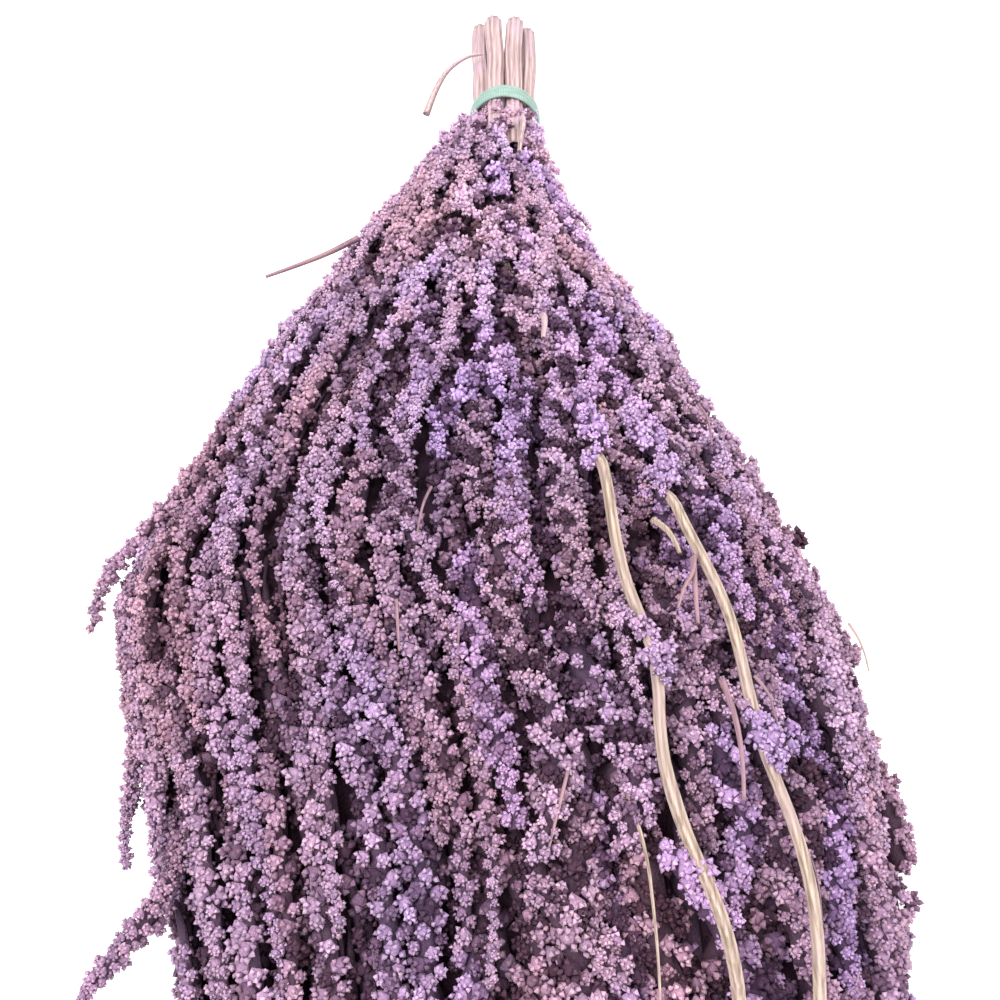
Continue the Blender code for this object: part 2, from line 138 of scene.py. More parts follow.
def across(points):
    """Two unit vectors across a line at each of its points, turned as little as possible along it."""
    ahead = unit(np.gradient(points, axis=0))
    side = unit(np.cross(ahead[0], [0.0, 0.0, 1.0]))
    pairs = []
    for direction in ahead:
        side = unit(side - direction * (side @ direction))
        pairs.append((side, np.cross(direction, side)))
    return pairs


def ribbed_tube(name, points, radii, ribs, rib_depth, pith_ends, rng):
    """A closed tube with ribs along it, a sunken pith where an end is cut and a blunt point where not."""
    sides = ribs * RIB_POINTS
    turn = 2 * math.pi * np.arange(sides) / sides
    heights = rng.uniform(*RIB_VARIETY, ribs)[np.arange(sides) // RIB_POINTS]
    rib = np.cos(turn * ribs) * heights
    rings, rib_values, pith_values = [], [], []
    pairs = across(points)

    def add_ring(i, radius, pith, back=0.0, ribbed=1.0):
        one, two = pairs[i]
        reach = radius * (1 + rib_depth * rib * ribbed)
        ahead = np.cross(one, two)
        circle = np.cos(turn)[:, None] * one + np.sin(turn)[:, None] * two
        rings.append(points[i] + reach[:, None] * circle + ahead * back)
        rib_values.append(rib * ribbed)
        pith_values.append(np.full(sides, pith))

    def add_end(i, cut, inward):
        for share, pith, sunk in CUT_RINGS if inward > 0 else reversed(CUT_RINGS):
            add_ring(i, radii[i] * share, pith * cut, inward * sunk * cut, CUT_RIBS)

    add_end(0, pith_ends[0], 1)
    for i in range(len(points)):
        add_ring(i, radii[i], 0.0)
    add_end(len(points) - 1, pith_ends[1], -1)
    last = (len(rings) - 1) * sides
    ends = [tuple(reversed(range(sides))), tuple(range(last, last + sides))]
    made = plain_object(name, np.concatenate(rings), side_faces(len(rings), sides) + ends)
    made.data.shade_smooth()
    point_values(made.data, "rib", np.concatenate(rib_values))
    point_values(made.data, "pith", np.concatenate(pith_values))
    return made


class Nodes:
    """A node tree whose nodes are added one by one. An input is a plain value or another node's socket."""

    def add(self, kind, inputs=(), **settings):
        made = self.tree.nodes.new(kind)
        for name, value in settings.items():
            setattr(made, name, value)
        for name, value in dict(inputs).items():
            if isinstance(value, bpy.types.NodeSocket):
                self.tree.links.new(value, made.inputs[name])
            else:
                made.inputs[name].default_value = value
        return made

    def math(self, how, first, second=0.0):
        return self.add("ShaderNodeMath", {0: first, 1: second}, operation=how).outputs[0]


class Shader(Nodes):
    """A material. Colours are linear."""

    def __init__(self, name, roughness, **constants):
        self.material = bpy.data.materials.new(name)
        self.material.use_nodes = True
        self.tree = self.material.node_tree
        self.surface = self.tree.nodes["Principled BSDF"]
        self.surface.inputs["Roughness"].default_value = roughness
        for socket, value in constants.items():
            self.surface.inputs[socket.replace("_", " ").title()].default_value = value

    def attribute(self, name):
        return self.add("ShaderNodeAttribute", attribute_name=name).outputs["Fac"]

    def noise(self, scale, detail=3.0, stretch=(1.0, 1.0, 1.0)):
        where = self.add("ShaderNodeTexCoord").outputs["Object"]
        drawn = self.add("ShaderNodeMapping", {"Vector": where, "Scale": stretch}).outputs[0]
        made = self.add("ShaderNodeTexNoise", {"Vector": drawn, "Scale": scale, "Detail": detail})
        return made.outputs["Fac"]

    def ramp(self, value, *stops):
        made = self.add("ShaderNodeValToRGB", {"Fac": value})
        marks = made.color_ramp.elements
        while len(marks) < len(stops):
            marks.new(1.0)
        for mark, (place_along, colour) in zip(marks, stops):
            mark.position = place_along
            mark.color = (*colour, 1.0)
        return made.outputs["Color"]

    def blend(self, share, first, second, how="MIX"):
        first, second = ((*value, 1.0) if isinstance(value, tuple) else value for value in (first, second))
        inputs = {0: share, 6: first, 7: second}
        return self.add("ShaderNodeMix", inputs, data_type="RGBA", blend_type=how).outputs[2]

    def colour(self, socket):
        self.tree.links.new(socket, self.surface.inputs["Base Color"])

    def bump(self, height, distance):
        made = self.add("ShaderNodeBump", {"Height": height, "Distance": distance})
        self.tree.links.new(made.outputs[0], self.surface.inputs["Normal"])


WHITE, BLACK = (1.0, 1.0, 1.0), (0.0, 0.0, 0.0)


def straw_finish(name, valley, ridge, pith, dust):
    """Dry stalk: darker in the grooves, as painted shade, streaked along the fibres, dusty in patches, with
    a paler pith.
    """
    shader = Shader(name, 0.62)
    fibres = shader.noise(1300.0, 4.0, (1.0, 0.02, 1.0))
    # Painted shade: the valley colour goes in the grooves between the ribs, the ridge colour on them.
    lift = shader.math("MULTIPLY_ADD", shader.attribute("rib"), 0.32)
    lift.node.inputs[2].default_value = 0.5
    base = shader.ramp(lift, (0.15, valley), (0.75, ridge))
    streaks = shader.ramp(fibres, (0.36, (0.42, 0.35, 0.33)), (0.56, WHITE))
    base = shader.blend(0.75, base, streaks, "MULTIPLY")
    patches = shader.ramp(shader.noise(38.0, 3.0), (0.45, BLACK), (0.70, (0.75, 0.75, 0.75)))
    base = shader.blend(patches, base, dust)
    shader.colour(shader.blend(shader.attribute("pith"), base, pith))
    shader.bump(fibres, 0.0004)
    return shader.material


butt_straw = straw_finish("pinkish_straw", (0.34, 0.21, 0.22), (0.56, 0.42, 0.41), (0.66, 0.55, 0.46),
                          (0.44, 0.31, 0.38))

for number in range(RING_HEADS):
    node = f"stalk_{number + 1}"
    low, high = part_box(node)
    rng = np.random.default_rng(20 + number)
    angle = 2 * math.pi * (number + 0.5) / RING_HEADS
    phase = rng.uniform(0, 2 * math.pi, 2)
    points, radii = [], []
    for s in np.linspace(BAND_Y - high[1], INTO_FLOWERS, STALK_RINGS):
        spread = bundle_spread(s)
        free = smoothstep((-s - FREE_FROM) / FREE_RUN)
        sway = WANDER * free * np.sin(phase + WANDER_RATE * s)
        x = math.sin(angle) * BUNDLE_R * spread + sway[0]
        z = bundle_centre(s) + math.cos(angle) * BUNDLE_R * spread + max(sway[1], 0.0)
        points.append(place(s, (x, z)))
        radii.append(mix(STALK_R, STALK_BUTT_R, smoothstep(-s / BUTT_LENGTH)) * STALK_TRIM)
    stalk = ribbed_tube(f"cut_{node}", np.array(points), radii, STALK_RIBS, RIB_DEPTH, (1.0, 0.0), rng)
    stalk.data.materials.append(butt_straw)
    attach(stalk, "root")
    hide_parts(node)

# Green band. A strip of thin green elastic wound three times round the tied stalks, its turns side by side
# and a little uneven, with the crimp lines that stretched elastic shows.
BAND_TURNS = 3
BAND_STEPS = 180
BAND_PROFILE = 14
CRIMPS = 95
CRIMP_HEIGHT, EDGE_WANDER = 0.00014, 0.0006
BAND_THICK, BAND_TRIM = 0.0018, 0.0002
STRIP_CROWN, GROOVE_SHARE = 0.45, 0.45
band_width = band_high[1] - band_low[1]
band_outer = (band_high[0] - band_low[0]) / 2
band_middle = np.array([0.0, TIED_HEIGHT])
vertices, crimp = [], []
for step in range(BAND_STEPS):
    turn = 2 * math.pi * step / BAND_STEPS
    out = np.array([math.sin(turn), math.cos(turn)])
    for k in range(BAND_PROFILE * BAND_TURNS):
        along = k / (BAND_PROFILE * BAND_TURNS - 1)
        strip = abs(math.sin(math.pi * along * BAND_TURNS)) ** STRIP_CROWN
        ripple = CRIMP_HEIGHT * math.sin(CRIMPS * turn + 1.3 * int(along * BAND_TURNS * 0.999))
        edge = EDGE_WANDER * math.sin(2 * turn + 1.0) * (along - 0.5)
        radius = band_outer - BAND_TRIM - BAND_THICK * GROOVE_SHARE * (1 - strip) + ripple * strip
        vertices.append(place((along - 0.5) * band_width + edge, out * radius + band_middle))
        # The crimp value sets painted shade in the furrows and between the turns, and painted highlight on
        # the crests.
        crimp.append(ripple / CRIMP_HEIGHT * strip)
    for along in (1.0, 0.0):
        vertices.append(place((along - 0.5) * band_width, out * (band_outer - BAND_THICK) + band_middle))
        crimp.append(0.0)
faces = side_faces(BAND_STEPS, BAND_PROFILE * BAND_TURNS + 2, flipped=True, wrapped=True)
elastic = plain_object("elastic_band", vertices, faces)
elastic.data.shade_smooth()
point_values(elastic.data, "crimp", crimp)

green = Shader("green_elastic", 0.48)
worn = green.ramp(green.noise(220.0, 3.0), (0.5, BLACK), (0.8, (0.6, 0.6, 0.6)))
# Painted shade and highlight: darker in the crimp furrows and between the turns, lighter on the crests.
crimp_shade_tone = green.ramp(green.attribute("crimp"), (0.0, (0.19, 0.29, 0.25)), (1.0, (0.34, 0.46, 0.40)))
green.colour(green.blend(worn, crimp_shade_tone, (0.40, 0.46, 0.43)))
green.bump(green.noise(1600.0, 2.0), 0.0002)
elastic.data.materials.append(green.material)
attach(elastic, "root")
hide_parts("band")

# Long stalks. Two longer stalks that come up between the heads on the right and run bare over the flowers,
# pale straw with sharp ribs, a little kinked where side shoots were stripped off.
# The lying bunch's outline: the way past the band, the left edge, the right edge and the height.
OUTLINE = [
    (0.000, -0.028, 0.022, 0.040),
    (0.047, -0.048, 0.029, 0.047),
    (0.094, -0.064, 0.039, 0.056),
    (0.137, -0.081, 0.049, 0.065),
    (0.211, -0.106, 0.077, 0.080),
    (0.270, -0.123, 0.094, 0.090),
    (0.340, -0.143, 0.118, 0.095),
    (0.414, -0.114, 0.124, 0.090),
    (0.472, -0.094, 0.117, 0.078),
    (0.550, -0.078, 0.093, 0.056),
    (0.620, -0.057, 0.068, 0.040),
]
CENTRE_HEIGHT, FLAT_UNDERSIDE, SIDE_FULLNESS = 0.42, 0.40, 0.8
SECTION_STEP, SECTION_POINTS, OUTLINE_SMOOTHING = 0.005, 140, 4
WIDE_WALLS = (0.070, 0.130, 0.265, 0.410, 0.560, 0.710, 0.830, 0.945)
WALL_SETTLED = 0.20
WALL_WAVE, WALL_WAVE_LENGTH, WALL_WAVE_PHASE, WALL_WAVE_START = 0.006, 0.26, 1.7, 0.10
LONG_STALK_R, LONG_STALK_TIP_R = 0.0022, 0.0016
LONG_STALK_TIED_X = (-0.0068, 0.0054)
LONG_STALK_END = 0.486
LONG_STALK_RINGS, LONG_STALK_RIBS, LONG_RIB_DEPTH = 150, 5, 0.09
KINK, KINK_RATES = 0.0009, np.array([90.0, 61.0])
JOINT_SWELL, JOINT_RATE, JOINT_SHARPNESS = 0.12, 52.0, 12
CLIMB_START, CLIMB_SHARE = 0.35, 0.66
LONG_CORE_R, LONG_CORE_ABOVE = 0.0052, 0.0012
UNDER_FLOWERS, BARE_ABOVE = -0.0180, 0.0022
BARE_FROM, BARING = (0.283, 0.296), 0.032
ROUTE_SOFTENING = np.linspace(-0.009, 0.009, 5)
# Where each long stalk lies on the flowers, as its way along the bunch and its share of the girth.
BARE_ROUTES = (
    ((0.290, 0.078), (0.312, 0.076), (0.344, 0.075), (0.366, 0.072), (0.378, 0.074), (0.388, 0.074),
     (0.410, 0.067), (0.426, 0.069), (0.440, 0.073), (0.456, 0.082), (0.480, 0.092)),
    ((0.290, 0.114), (0.320, 0.114), (0.338, 0.117), (0.362, 0.121), (0.388, 0.122), (0.412, 0.122),
     (0.436, 0.128), (0.456, 0.132), (0.480, 0.134)),
)


def sections():
    """The lying bunch's sections: stations, centres and, evenly round each outline, points and normals."""
    stations = np.arange(0.0, OUTLINE[-1][0] + SECTION_STEP / 2, SECTION_STEP)
    table = np.array(OUTLINE).T
    kernel = np.hanning(2 * OUTLINE_SMOOTHING + 3)[1:-1]
    kernel /= kernel.sum()
    edges = []
    for row in table[1:]:
        padded = np.pad(np.interp(stations, table[0], row), OUTLINE_SMOOTHING, mode="edge")
        edges.append(np.convolve(padded, kernel, "valid"))
    left, right, top = edges
    middle, half = (left + right) / 2, (right - left) / 2
    height = CENTRE_HEIGHT * top
    angle = np.linspace(0.0, 2 * math.pi, 721)
    across_share, up = np.sin(angle), np.cos(angle)
    low = up < 0
    fuller = np.sign(across_share) * np.abs(across_share) ** SIDE_FULLNESS
    across_share = np.where(low, fuller, across_share)
    rise = np.where(low, -np.abs(up) ** FLAT_UNDERSIDE, up)
    points = np.zeros((len(stations), SECTION_POINTS, 2))
    for i in range(len(stations)):
        x = middle[i] + half[i] * across_share
        z = height[i] + np.where(low, height[i], top[i] - height[i]) * rise
        run = np.concatenate([[0.0], np.cumsum(np.hypot(np.diff(x), np.diff(z)))])
        even = np.arange(SECTION_POINTS) / SECTION_POINTS * run[-1]
        points[i] = np.column_stack([np.interp(even, run, x), np.interp(even, run, z)])
    along = np.roll(points, -1, axis=1) - np.roll(points, 1, axis=1)
    normals = unit(np.stack([-along[..., 1], along[..., 0]], axis=-1))
    return stations, np.column_stack([middle, height]), points, normals


STATIONS, CENTRES, SKIN, NORMALS = sections()
GIRTHS = np.linalg.norm(np.roll(SKIN, -1, axis=1) - SKIN, axis=2).sum(axis=1)


def centre(s):
    return np.array([np.interp(s, STATIONS, CENTRES[:, 0]), np.interp(s, STATIONS, CENTRES[:, 1])])


def skin(s, q):
    """The outline's point at s, a share q of the way round from the top, and the normal there, as (x, z)."""
    row = np.clip(s / SECTION_STEP, 0.0, len(STATIONS) - 1.001)
    column = (q % 1.0) * SECTION_POINTS
    i, j = int(row), int(column) % SECTION_POINTS
    a, b = row - i, column - int(column)
    k = (j + 1) % SECTION_POINTS
    point, normal = (
        mix(mix(grid[i, j], grid[i, k], b), mix(grid[i + 1, j], grid[i + 1, k], b), a)
        for grid in (SKIN, NORMALS)
    )
    return point, unit(normal)


def wall(number, s):
    """The share of the girth at which the wall between two neighbouring heads lies."""
    turn, which = divmod(number, RING_HEADS)
    wave = math.sin(2 * math.pi * s / WALL_WAVE_LENGTH + WALL_WAVE_PHASE * which)
    settled = mix(turn + which / RING_HEADS, turn + WIDE_WALLS[which], smoothstep(s / WALL_SETTLED))
    return settled + WALL_WAVE * wave * smoothstep(s / WALL_WAVE_START)


def long_stalk_share(s, which):
    """The share of the girth at which a long stalk lies: in its wall at first, then on its own route."""
    route = np.array(BARE_ROUTES[which]).T
    softened = float(np.mean(np.interp(s + ROUTE_SOFTENING, route[0], route[1])))
    return mix(wall(which, s), softened, smoothstep((s - 0.20) / 0.09))


def long_stalk_point(s, which):
    """A long stalk's place at s: among the tied stalks, up its wall between two heads, then on top."""
    tied = np.array([LONG_STALK_TIED_X[which] * bundle_spread(s), bundle_centre(s)])
    if s <= 0:
        return tied
    edge, normal = skin(s, long_stalk_share(s, which))
    climb = mix(CLIMB_START, 1.0, smoothstep(s / 0.20)) * CLIMB_SHARE
    buried = mix(centre(s), edge, climb)
    lift = smoothstep((s - 0.40) / 0.06)
    above = mix(UNDER_FLOWERS, BARE_ABOVE, smoothstep((s - BARE_FROM[which]) / BARING))
    above = mix(above, LONG_CORE_R + LONG_CORE_ABOVE, lift)
    surface = edge + max(above, 0.0) * normal + np.array([0.0, min(above, 0.0)])
    rising = mix(buried, surface, smoothstep((s - 0.18) / 0.10))
    return mix(tied, rising, smoothstep(s / 0.045))


straw = straw_finish("pale_straw", (0.27, 0.185, 0.15), (0.47, 0.375, 0.300), (0.54, 0.45, 0.36),
                     (0.40, 0.29, 0.28))
for which in range(2):
    rng = np.random.default_rng(40 + which)
    phase = rng.uniform(0, 2 * math.pi, 2)
    points, radii = [], []
    for s in np.linspace(-BUTT_LENGTH + 0.002, LONG_STALK_END, LONG_STALK_RINGS):
        kink = KINK * smoothstep((s - 0.1) / 0.1) * np.sin(phase + KINK_RATES * s)
        points.append(place(s, long_stalk_point(s, which) + kink))
        joint = JOINT_SWELL * max(0.0, math.sin(phase[0] + JOINT_RATE * s)) ** JOINT_SHARPNESS
        radii.append(mix(LONG_STALK_R, LONG_STALK_TIP_R, smoothstep(s / LONG_STALK_END)) * (1 + joint))
    node = f"long_stalk_{which + 1}"
    name = f"bare_{node}"
    stalk = ribbed_tube(name, np.array(points), radii, LONG_STALK_RIBS, LONG_RIB_DEPTH, (1.0, 0.0), rng)
    stalk.data.materials.append(straw)
    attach(stalk, "root")
    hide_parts(node)

# Flower clusters. The dried flowers sit on a tassel in tight balls of small pointed grains. A few such balls
# are made here once, to be set along every tassel, and plainer ones for the tassels that hardly show.
VARIETIES = 5
BALL_GRAINS, PLAIN_GRAINS = 9, 6
BALL_GRAIN_WIDTH, PLAIN_GRAIN_WIDTH = 0.33, 0.42
# The body's low colour value paints it in shade between the grains.
BODY_R, BODY_GRAIN = 0.84, 0.26
GOLDEN_TURN = math.pi * (3 - math.sqrt(5))
GRAIN_SIDES, WAIST = 3, 0.54
GRAIN_ROOT, GRAIN_LENGTH = 0.40, 0.72
UNEVEN, TANGLED = 0.12, 0.25
LEAN_AHEAD = np.array([0.35, 0.0, 0.0])


def ball(name, count, width, seed):
    """Spindle-shaped grains over half of a solid ball. The colour value is 0 at a root, as painted shade,
    and 1 at a tip.
    """
    rng = np.random.default_rng(seed)
    k = np.arange(count)
    height = 1 - (k + 0.5) / count
    turn = k * GOLDEN_TURN + rng.uniform(0, 2 * math.pi)
    flat = np.sqrt(1 - height ** 2)
    directions = np.column_stack([flat * np.cos(turn), flat * np.sin(turn), height])
    directions = unit(directions + UNEVEN * rng.normal(size=directions.shape))
    reach = rng.uniform(0.85, 1.15, count)
    leaning = unit(directions + TANGLED * rng.normal(size=directions.shape) + LEAN_AHEAD)
    roots = directions * GRAIN_ROOT * reach[:, None]
    corners = ((1, 0, 0), (0, 1, 0), (-1, 0, 0), (0, -1, 0), (0, 0, 1), (0, 0, -1))
    vertices = [BODY_R * np.array(corner) for corner in corners]
    faces = [face for j in range(4) for face in ((j, (j + 1) % 4, 4), ((j + 1) % 4, j, 5))]
    grain = [BODY_GRAIN] * len(corners)
    for root, direction, length, up in zip(roots, leaning, reach * GRAIN_LENGTH, height):
        side = unit(np.cross(direction, rng.normal(size=3)))
        other = np.cross(direction, side)
        first = len(vertices)
        for j in range(GRAIN_SIDES):
            around = 2 * math.pi * j / GRAIN_SIDES
            out = width * rng.uniform(0.8, 1.2) * (math.cos(around) * side + math.sin(around) * other)
            vertices.append(root + direction * length * WAIST + out)
            nearer, further = first + j, first + (j + 1) % GRAIN_SIDES
            faces += [(nearer, further, first + GRAIN_SIDES), (further, nearer, first + GRAIN_SIDES + 1)]
        vertices += [root + direction * length, root]
        # Painted shade and light: roots get 0, and grains lower on the ball get lower values, so each ball
        # is lighter on top and darker at its rim.
        grain += [mix(0.34, 0.56, up)] * GRAIN_SIDES + [mix(0.60, 1.0, up) * rng.uniform(0.85, 1.0), 0.0]
    made = plain_object(name, vertices, faces)
    made.data.shade_smooth()
    point_values(made.data, "grain", grain)
    return made


clusters = bpy.data.collections.new("flower_clusters")
for n in range(VARIETIES):
    clusters.objects.link(ball(f"cluster_{n:02d}", BALL_GRAINS, BALL_GRAIN_WIDTH, 60 + n))
    clusters.objects.link(ball(f"cluster_{VARIETIES + n:02d}", PLAIN_GRAINS, PLAIN_GRAIN_WIDTH, 80 + n))


class Grower(Nodes):
    """A Geometry Nodes tree with named inputs."""

    def __init__(self, name, inputs):
        self.tree = bpy.data.node_groups.new(name, "GeometryNodeTree")
        self.sockets = {}
        for label, kind in inputs:
            self.sockets[label] = self.tree.interface.new_socket(label, in_out="INPUT", socket_type=kind)
        self.tree.interface.new_socket("Geometry", in_out="OUTPUT", socket_type="NodeSocketGeometry")
        self.start = self.tree.nodes.new("NodeGroupInput").outputs
        self.end = self.tree.nodes.new("NodeGroupOutput")

    def value(self, name, kind="FLOAT"):
        return self.add("GeometryNodeInputNamedAttribute", {"Name": name}, data_type=kind).outputs[0]

    def vector(self, how, first, second=(0.0, 0.0, 0.0)):
        return self.add("ShaderNodeVectorMath", {0: first, 1: second}, operation=how).outputs[0]

    def scaled(self, vector, factor):
        return self.add("ShaderNodeVectorMath", {0: vector, "Scale": factor}, operation="SCALE").outputs[0]

    def logic(self, how, first, second=False):
        return self.add("FunctionNodeBooleanMath", {0: first, 1: second}, operation=how).outputs[0]

    def store(self, geometry, name, value, domain="POINT"):
        written = {"Geometry": geometry, "Name": name, "Value": value}
        made = self.add("GeometryNodeStoreNamedAttribute", written, data_type="FLOAT", domain=domain)
        return made.outputs[0]

    def random(self, low, high, seed):
        made = self.add("FunctionNodeRandomValue", {2: low, 3: high, "Seed": seed}, data_type="FLOAT")
        return made.outputs[1]

    def random_whole(self, low, high, seed):
        made = self.add("FunctionNodeRandomValue", {4: low, 5: high, "Seed": seed}, data_type="INT")
        return made.outputs[2]


# A cluster's depth sets its painted shade: the depth over which it darkens, and the rope's fixed depth.
SHADE_DEPTH_RANGE, ROPE_SHADE_DEPTH, SIGHT_START = 0.0105, 0.62, 0.0038
ROPE_STEP, ROPE_SIDES, ROPE_FULLNESS = 0.007, 5, 0.86
SPIRAL_TURN = 2.39996
LUMP_SCALE, LUMP_HEIGHTS = 95.0, (0.74, 1.26)
CLUSTER_REACH, CLUSTER_SPIN, CLUSTER_SIZES = (0.90, 1.10), 0.5, (0.80, 1.22)
SPIRAL_SHADE = 1.5


def tassel_tree():
    """Sets flower clusters in a spiral round each tassel line, over a slim rope, and joins the core."""
    grow = Grower("tassel_flowers", [
        ("Tassel lines", "NodeSocketGeometry"), ("Flower clusters", "NodeSocketCollection"),
        ("Core", "NodeSocketObject"), ("Rope fullness", "NodeSocketFloat"), ("Seed", "NodeSocketInt"),
        ("Finish", "NodeSocketMaterial")])
    seeds = [grow.start["Seed"]] + [grow.math("ADD", grow.start["Seed"], k) for k in range(1, 5)]
    thickness, outward = grow.value("thickness"), grow.value("outward", "FLOAT_VECTOR")

    # The rope, and the spots along it.
    lines = grow.add("GeometryNodeMeshToCurve", {"Mesh": grow.start["Tassel lines"]}).outputs[0]
    steps = {"Curve": lines, "Length": ROPE_STEP}
    coarse = grow.add("GeometryNodeResampleCurve", steps, mode="LENGTH").outputs[0]
    ring = grow.add("GeometryNodeCurvePrimitiveCircle", {"Resolution": ROPE_SIDES, "Radius": 1.0}).outputs[0]
    full = grow.math("MULTIPLY", thickness, grow.start["Rope fullness"])
    swept = {"Curve": coarse, "Profile Curve": ring, "Scale": full, "Fill Caps": True}
    rope = grow.add("GeometryNodeCurveToMesh", swept).outputs[0]
    pitch = {"Curve": lines, "Length": grow.value("pitch")}
    fine = grow.add("GeometryNodeResampleCurve", pitch, mode="LENGTH").outputs[0]
    spots = grow.add("GeometryNodeCurveToPoints", {"Curve": fine}, mode="EVALUATED")

    # Each spot's place in the spiral, out from the line, nearer or further as the tassel is lumpy.
    ahead = spots.outputs["Tangent"]
    side = grow.vector("NORMALIZE", grow.vector("CROSS_PRODUCT", ahead, outward))
    up = grow.vector("CROSS_PRODUCT", side, ahead)
    turn = grow.math("MULTIPLY", grow.add("GeometryNodeInputIndex").outputs[0], SPIRAL_TURN)
    rise = grow.math("COSINE", turn)
    out = grow.vector("ADD", grow.scaled(up, rise), grow.scaled(side, grow.math("SINE", turn)))
    lumps = grow.add("ShaderNodeTexNoise", {"Scale": LUMP_SCALE, "Detail": 1.0}).outputs["Fac"]
    heights = {0: lumps, 1: 0.36, 2: 0.64, 3: LUMP_HEIGHTS[0], 4: LUMP_HEIGHTS[1]}
    lumpy = grow.add("ShaderNodeMapRange", heights).outputs[0]
    reach = grow.math("MULTIPLY", lumpy, grow.random(*CLUSTER_REACH, seeds[0]))
    reach = grow.math("MULTIPLY", thickness, reach)
    moved = {"Geometry": spots.outputs["Points"], "Offset": grow.scaled(out, reach)}
    moved = grow.add("GeometryNodeSetPosition", moved).outputs[0]
    facing = grow.vector("NORMALIZE", grow.vector("ADD", out, grow.scaled(ahead, grow.value("lean"))))
    axes = {"primary_axis": "Z", "secondary_axis": "X"}
    faced = grow.add("FunctionNodeAxesToRotation", {0: facing, 1: ahead}, **axes).outputs[0]
    spin = {"Axis": (0.0, 0.0, 1.0), "Angle": grow.random(-CLUSTER_SPIN, CLUSTER_SPIN, seeds[1])}
    spin = grow.add("FunctionNodeAxisAngleToRotation", spin).outputs[0]
    turned = grow.add("FunctionNodeRotateRotation", {0: faced, 1: spin}, rotation_space="LOCAL").outputs[0]

    # Only the spots that show get a cluster: on the line's outer side, and with no other rope over them.
    sides = {0: rise, 1: grow.value("hidden")}
    outer = grow.add("FunctionNodeCompare", sides, operation="GREATER_THAN").outputs[0]
    spot = grow.add("GeometryNodeInputPosition").outputs[0]
    start = grow.vector("ADD", spot, grow.scaled(outward, SIGHT_START))
    ray = {"Target Geometry": rope, "Source Position": start, "Ray Direction": outward,
           "Ray Length": grow.value("sight")}
    covered = grow.add("GeometryNodeRaycast", ray).outputs["Is Hit"]
    seen = grow.logic("AND", outer, grow.logic("NOT", covered))
    variety = grow.random_whole(0, VARIETIES - 1, seeds[2])
    pick = grow.math("ADD", grow.math("MULTIPLY", grow.value("kind"), VARIETIES), variety)
    made = {"Collection": grow.start["Flower clusters"], "Separate Children": True, "Reset Children": True}
    made = grow.add("GeometryNodeCollectionInfo", made).outputs[0]
    size = grow.math("MULTIPLY", grow.value("cluster"), grow.random(*CLUSTER_SIZES, seeds[3]))
    spread = {"Points": moved, "Selection": seen, "Instance": made, "Pick Instance": True,
              "Instance Index": pick, "Rotation": turned, "Scale": size}
    placed = grow.add("GeometryNodeInstanceOnPoints", spread).outputs[0]

    # What the finish reads: how deep a cluster lies, for its painted shade, and a tint of its own.
    shaded = grow.math("MULTIPLY", rise, grow.math("MULTIPLY", reach, SPIRAL_SHADE))
    under = grow.math("SUBTRACT", grow.value("sunk"), shaded)
    placed = grow.store(placed, "depth", grow.math("DIVIDE", under, SHADE_DEPTH_RANGE), "INSTANCE")
    placed = grow.store(placed, "cluster_tint", grow.random(0.0, 1.0, seeds[4]), "INSTANCE")
    core = grow.add("GeometryNodeObjectInfo", {"Object": grow.start["Core"]}).outputs["Geometry"]
    joined = grow.add("GeometryNodeJoinGeometry").inputs[0]
    # The rope and the core get fixed depths, which paint them in shade.
    for part in (placed, grow.store(rope, "depth", ROPE_SHADE_DEPTH), grow.store(core, "depth", 1.0)):
        grow.tree.links.new(part, joined)
    plain = grow.add("GeometryNodeRealizeInstances", {0: joined.node.outputs[0]}).outputs[0]
    finish = {"Geometry": plain, "Material": grow.start["Finish"]}
    grow.tree.links.new(grow.add("GeometryNodeSetMaterial", finish).outputs[0], grow.end.inputs[0])
    return grow


tassel_grower = tassel_tree()
SPENT_VALUES = ("thickness", "pitch", "cluster", "kind", "hidden", "sight", "sunk", "lean", "outward")


def grow_piece(name, lines, core, seed, finish):
    """Runs the tassel tree on one head's lines and leaves a plain mesh."""
    modifier = lines.modifiers.new("flowers", "NODES")
    modifier.node_group = tassel_grower.tree
    values = {"Flower clusters": clusters, "Core": core, "Rope fullness": ROPE_FULLNESS, "Seed": seed,
              "Finish": finish}
    for label, value in values.items():
        modifier[tassel_grower.sockets[label].identifier] = value
    evaluated = lines.evaluated_get(bpy.context.evaluated_depsgraph_get())
    mesh = bpy.data.meshes.new_from_object(evaluated)
    mesh.name = name
    lines.modifiers.clear()
    lines.data = mesh
    lines.name = name
    for label in SPENT_VALUES:
        mesh.attributes.remove(mesh.attributes[label])
    bpy.data.objects.remove(core)
    return lines


# Dyed flowers. The tassels are dried and dyed lilac: mauve on the scales, and papery, pale pinkish at their
# tips, with some ropes greyer or pinker than others. The near black deep between the clusters is painted
# shade.
dyed = Shader("dyed_flowers", 0.80)
dyed.surface.inputs["Specular IOR Level"].default_value = 0.12
# The grain value's dark end is painted shade: at the grains' roots, on the balls' bodies and on the rope and
# core.
grain = dyed.attribute("grain")
lilac = dyed.ramp(grain, (0.0, (0.13, 0.09, 0.125)), (0.22, (0.34, 0.24, 0.34)), (0.55, (0.46, 0.35, 0.46)),
                  (1.0, (0.53, 0.43, 0.485)))
flecks = dyed.ramp(dyed.noise(700.0, 2.0), (0.48, BLACK), (0.66, (0.90, 0.90, 0.90)))
toned = dyed.blend(grain, lilac, dyed.blend(flecks, lilac, (0.55, 0.41, 0.39)))
crumb = dyed.noise(1500.0, 2.0)
dyed.bump(crumb, 0.0005)
along = dyed.add("ShaderNodeSeparateXYZ", {0: dyed.add("ShaderNodeTexCoord").outputs["Object"]}).outputs["Y"]
